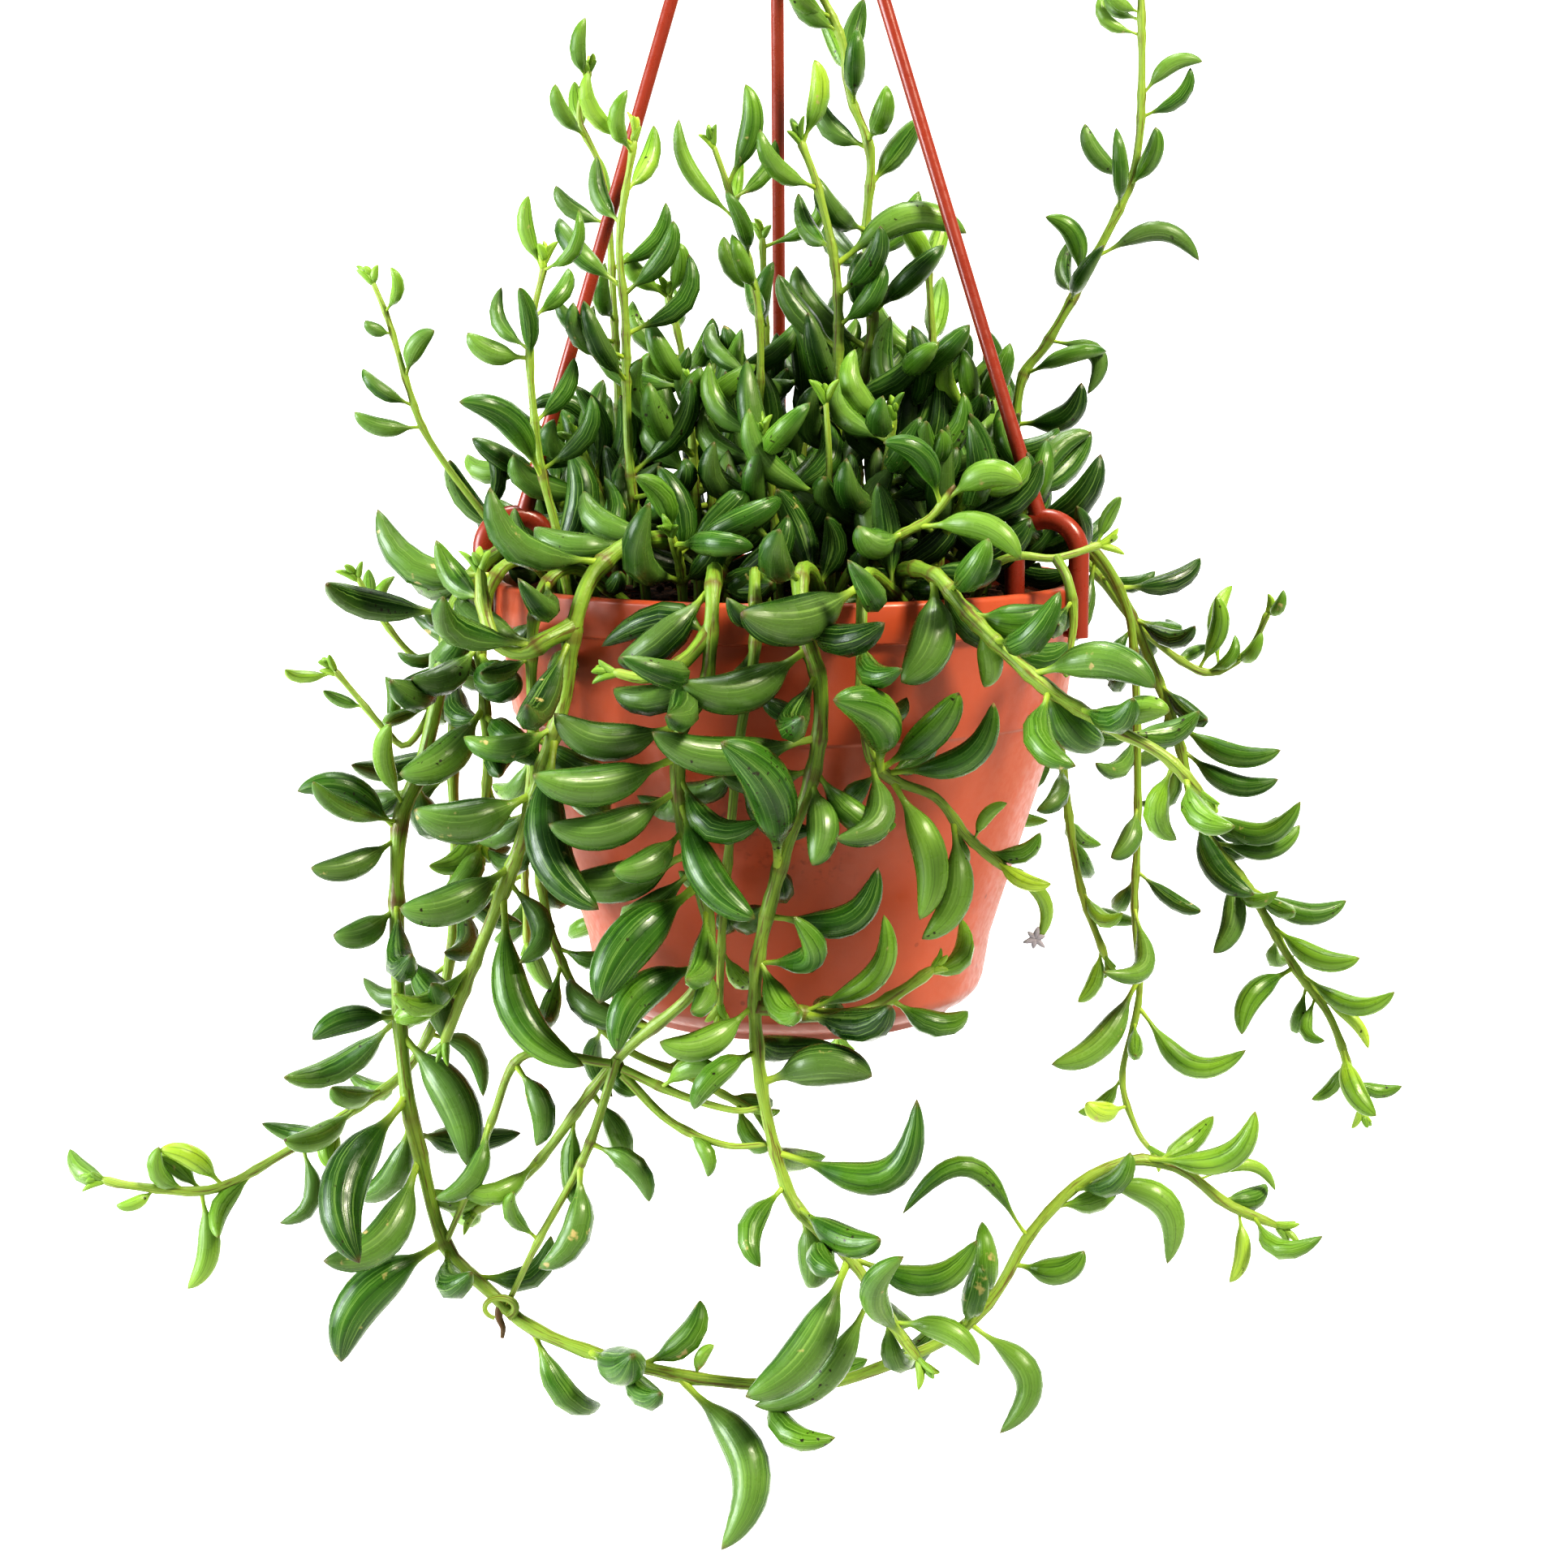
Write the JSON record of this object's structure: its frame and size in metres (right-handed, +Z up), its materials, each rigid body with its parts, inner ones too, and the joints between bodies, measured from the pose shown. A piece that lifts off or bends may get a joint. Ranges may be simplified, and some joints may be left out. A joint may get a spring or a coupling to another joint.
{
  "type": "potted string of beans",
  "caption": "Tapered plastic pot hanging from a hook by slender clip-on arms, full of soil and a live succulent with trailing stems of bean-shaped leaves.",
  "frame": {"origin": "the point where the inside of the hook's bend rests on whatever carries it", "axes": "+Z up through the hook, +X to the right and -Y towards the front, where the longest trails hang"},
  "size_m": [0.2732, 0.1801, 0.3804],
  "materials": {
    "pot_plastic": "satin",
    "hanger_plastic": "gloss",
    "potting_soil": "matte",
    "trail_leaf": "satin",
    "shoot_leaf": "satin",
    "crown_leaf": "satin"
  },
  "bodies": {
    "root": {"crown_01": "crown_leaf", "crown_02": "crown_leaf", "crown_03": "crown_leaf", "crown_04": "crown_leaf", "crown_05": "crown_leaf", "crown_06": "crown_leaf", "crown_07": "crown_leaf", "crown_08": "crown_leaf", "crown_09": "crown_leaf", "crown_10": "crown_leaf", "crown_11": "crown_leaf", "crown_12": "crown_leaf", "crown_13": "crown_leaf", "crown_14": "crown_leaf", "hanger_arm_back": "hanger_plastic", "hanger_arm_left": "hanger_plastic", "hanger_arm_right": "hanger_plastic", "hanger_hook": "hanger_plastic", "pot": "pot_plastic", "shoot_back_left": "shoot_leaf", "shoot_back_middle": "shoot_leaf", "shoot_back_right": "shoot_leaf", "shoot_centre_left": "shoot_leaf", "shoot_centre_right": "shoot_leaf", "shoot_cut": "shoot_leaf", "shoot_far_left": "shoot_leaf", "shoot_front_small": "shoot_leaf", "shoot_left_back": "shoot_leaf", "shoot_left_front": "shoot_leaf", "shoot_left_middle": "shoot_leaf", "shoot_right_front": "shoot_leaf", "shoot_right_inner": "shoot_leaf", "shoot_right_tall": "shoot_leaf", "shoot_rim_right": "shoot_leaf", "shoot_tall": "shoot_leaf", "soil": "potting_soil", "trail_back_left": "trail_leaf", "trail_back_middle": "trail_leaf", "trail_back_right": "trail_leaf", "trail_bottom_loop": "trail_leaf", "trail_front_centre_left": "trail_leaf", "trail_front_centre_right": "trail_leaf", "trail_front_left": "trail_leaf", "trail_front_middle": "trail_leaf", "trail_front_right": "trail_leaf", "trail_left_back": "trail_leaf", "trail_left_hook_lower": "trail_leaf", "trail_left_hook_upper": "trail_leaf", "trail_left_middle": "trail_leaf", "trail_left_reach": "trail_leaf", "trail_left_sweep": "trail_leaf", "trail_pot_face": "trail_leaf", "trail_right_back": "trail_leaf", "trail_right_outer": "trail_leaf", "trail_right_short": "trail_leaf", "trail_right_thin": "trail_leaf"}
  },
  "joints": []
}
